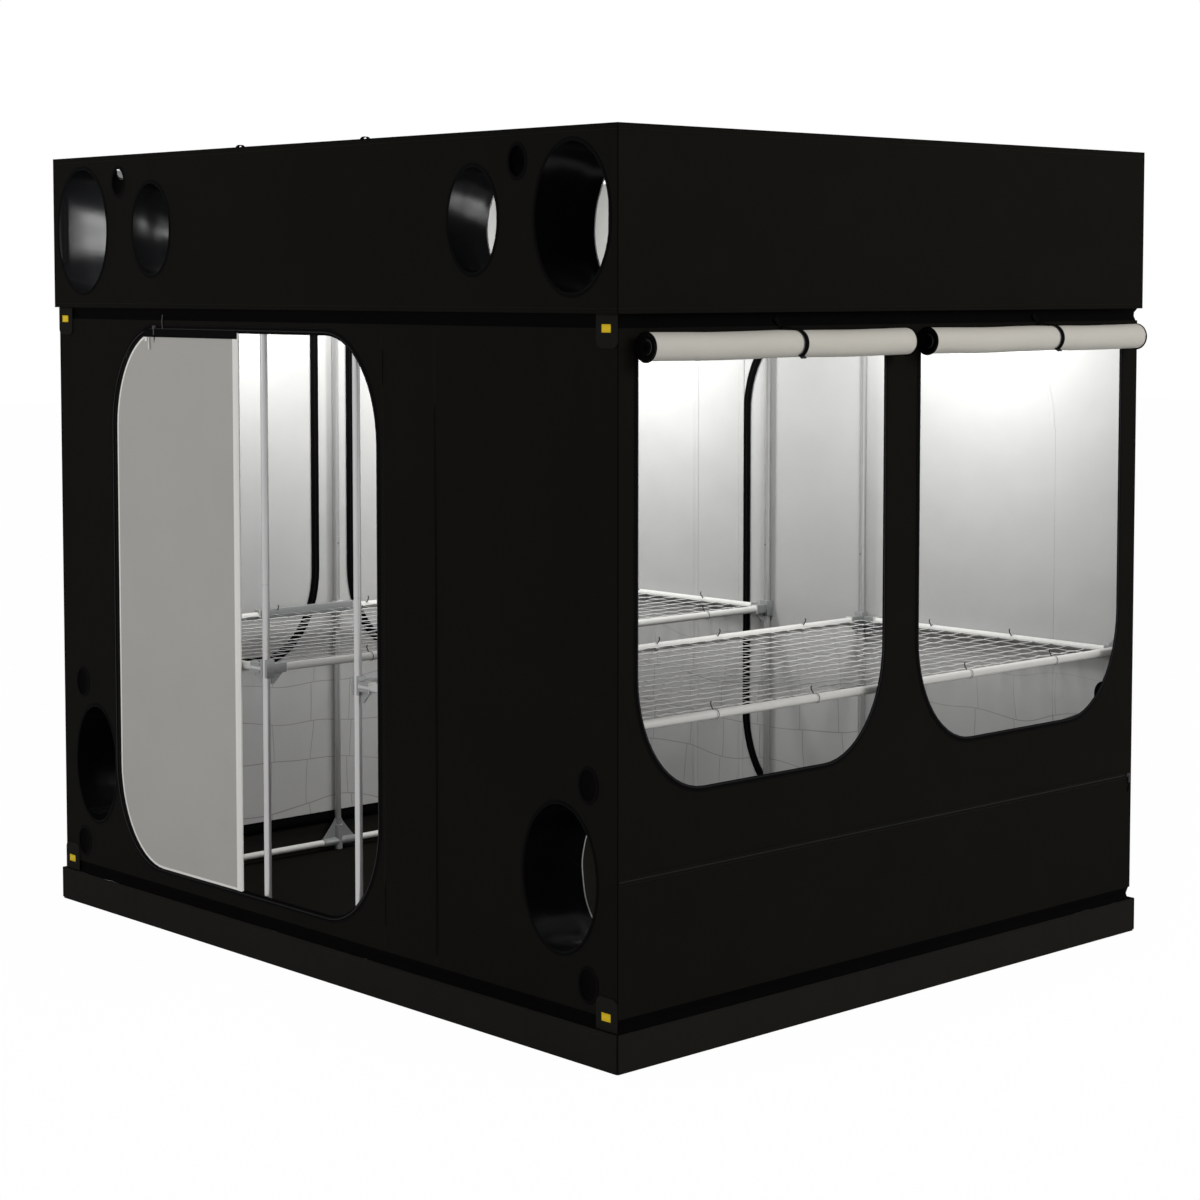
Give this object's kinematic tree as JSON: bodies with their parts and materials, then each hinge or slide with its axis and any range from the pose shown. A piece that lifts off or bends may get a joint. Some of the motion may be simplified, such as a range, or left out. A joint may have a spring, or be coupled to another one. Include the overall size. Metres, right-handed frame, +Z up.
{
  "type": "indoor grow tent",
  "caption": "Fabric grow tent on a tube frame: vented hood, folding front door, side windows with rolled flaps, zipped back door and net tables that slide on the posts.",
  "frame": {"origin": "centre of the flat underside of the floor tray, which rests on the ground", "axes": "+Z up, the front door faces -Y, the wall with the two open windows faces +X"},
  "size_m": [2.4671, 2, 2.18],
  "materials": {
    "black_fabric": "matt black woven outside, white reflective lining",
    "skirt_fabric": "matt black coated",
    "band_fabric": "matt black",
    "liner_fabric": "satin reflective lining, black outside",
    "flap_lining": "satin grey white lining",
    "webbing": "woven webbing and zip tape",
    "zip_metal": "satin black",
    "white_tube": "white powder coat",
    "net_cord": "white elastic cord"
  },
  "bodies": {
    "tent": {"floor_tray": "skirt_fabric", "lower_band": "band_fabric", "upper_band": "band_fabric", "front_wall": "black_fabric", "back_wall": "black_fabric", "left_wall": "black_fabric", "right_wall": "black_fabric", "hood_front": "black_fabric", "hood_back": "black_fabric", "hood_left": "black_fabric", "hood_right": "black_fabric", "hood_roof": "black_fabric", "hood_sleeve_1": "black_fabric", "hood_sleeve_2": "black_fabric", "hood_sleeve_3": "black_fabric", "hood_sleeve_4": "black_fabric", "front_sleeve_1": "black_fabric", "front_sleeve_2": "black_fabric", "back_sleeve_1": "black_fabric", "back_sleeve_2": "black_fabric", "window_roll_near": "flap_lining", "window_roll_far": "flap_lining", "front_door_facing": "webbing", "back_door_zip": "webbing", "left_window_zip_near": "webbing", "left_window_zip_far": "webbing", "corner_post_front_left": "white_tube", "corner_post_front_right": "white_tube", "corner_post_back_left": "white_tube", "corner_post_back_right": "white_tube", "inner_post_front_left": "white_tube", "inner_post_front_right": "white_tube", "inner_post_back_left": "white_tube", "inner_post_back_right": "white_tube", "side_post_left": "white_tube", "side_post_right": "white_tube", "bottom_rails": "white_tube", "top_rails": "white_tube", "roof_bar_left": "white_tube", "roof_bar_right": "white_tube"},
    "front_door_hinged_half": {"door_hinged_half": "liner_fabric"},
    "front_door_free_half": {"door_folded_half": "flap_lining", "door_top_hem": "webbing"},
    "rear_door": {"back_door": "black_fabric"},
    "left_window_flap_near": {"left_window_near": "liner_fabric"},
    "left_window_flap_far": {"left_window_far": "liner_fabric"},
    "strap_near": {"roll_strap_near": "webbing"},
    "strap_far": {"roll_strap_far": "webbing"},
    "tab_left_top": {"tab_left_top": "webbing"},
    "tab_left_bottom": {"tab_left_bottom": "webbing"},
    "tab_right_top": {"tab_right_top": "webbing"},
    "tab_right_bottom": {"tab_right_bottom": "webbing"},
    "slider_front_door": {"front_door_slider": "zip_metal"},
    "slider_back_door": {"back_door_slider": "zip_metal"},
    "slider_left_zip": {"left_zip_slider": "zip_metal"},
    "slider_right_zip": {"right_zip_slider": "zip_metal"},
    "net_table_left": {"table_frame_left": "white_tube", "table_net_left": "net_cord"},
    "net_table_right": {"table_frame_right": "white_tube", "table_net_right": "net_cord"}
  },
  "joints": [
    {"name": "door_swing", "type": "hinge", "parent": "tent", "child": "front_door_hinged_half", "pos_m": [-0.907, -0.99, 0.93], "axis": [0, 0, -1], "range_deg": [0, 110]},
    {"name": "door_fold", "type": "hinge", "parent": "front_door_hinged_half", "child": "front_door_free_half", "pos_m": [-0.292, -0.9902, 0.93], "axis": [0, 0, 1], "range_deg": [0, 180]},
    {"name": "back_door_swing", "type": "hinge", "parent": "tent", "child": "rear_door", "pos_m": [0.907, 0.99, 0.93], "axis": [0, 0, -1], "range_deg": [0, 110]},
    {"name": "left_window_near_lift", "type": "hinge", "parent": "tent", "child": "left_window_flap_near", "pos_m": [-1.19, -0.499, 1.673], "axis": [0, 1, 0], "range_deg": [0, 110]},
    {"name": "left_window_far_lift", "type": "hinge", "parent": "tent", "child": "left_window_flap_far", "pos_m": [-1.19, 0.4895, 1.673], "axis": [0, 1, 0], "range_deg": [0, 110]},
    {"name": "strap_near_lift", "type": "hinge", "parent": "tent", "child": "strap_near", "pos_m": [1.1903, -0.442, 1.715], "axis": [0, -1, 0], "range_deg": [0, 60]},
    {"name": "strap_far_lift", "type": "hinge", "parent": "tent", "child": "strap_far", "pos_m": [1.1903, 0.554, 1.715], "axis": [0, -1, 0], "range_deg": [0, 60]},
    {"name": "tab_left_top_peel", "type": "hinge", "parent": "tent", "child": "tab_left_top", "pos_m": [-1.1545, -0.9923, 1.7497], "axis": [-1, 0, 0], "range_deg": [0, 85]},
    {"name": "tab_left_bottom_peel", "type": "hinge", "parent": "tent", "child": "tab_left_bottom", "pos_m": [-1.1545, -0.9923, 0.0933], "axis": [1, 0, 0], "range_deg": [0, 85]},
    {"name": "tab_right_top_peel", "type": "hinge", "parent": "tent", "child": "tab_right_top", "pos_m": [1.1545, -0.9923, 1.7497], "axis": [-1, 0, 0], "range_deg": [0, 85]},
    {"name": "tab_right_bottom_peel", "type": "hinge", "parent": "tent", "child": "tab_right_bottom", "pos_m": [1.1545, -0.9923, 0.0933], "axis": [1, 0, 0], "range_deg": [0, 85]},
    {"name": "front_door_zip_travel", "type": "slide", "parent": "tent", "child": "slider_front_door", "axis": [1, 0, 0], "range_m": [0, 0.78]},
    {"name": "back_door_zip_travel", "type": "slide", "parent": "tent", "child": "slider_back_door", "axis": [-1, 0, 0], "range_m": [0, 0.78]},
    {"name": "left_zip_travel", "type": "slide", "parent": "tent", "child": "slider_left_zip", "axis": [0, 1, 0], "range_m": [0, 1.94]},
    {"name": "right_zip_travel", "type": "slide", "parent": "tent", "child": "slider_right_zip", "axis": [0, -1, 0], "range_m": [0, 1.94]},
    {"name": "left_table_height", "type": "slide", "parent": "tent", "child": "net_table_left", "axis": [0, 0, 1], "range_m": [-0.12, 0.6]},
    {"name": "right_table_height", "type": "slide", "parent": "tent", "child": "net_table_right", "axis": [0, 0, 1], "range_m": [-0.12, 0.6]}
  ]
}
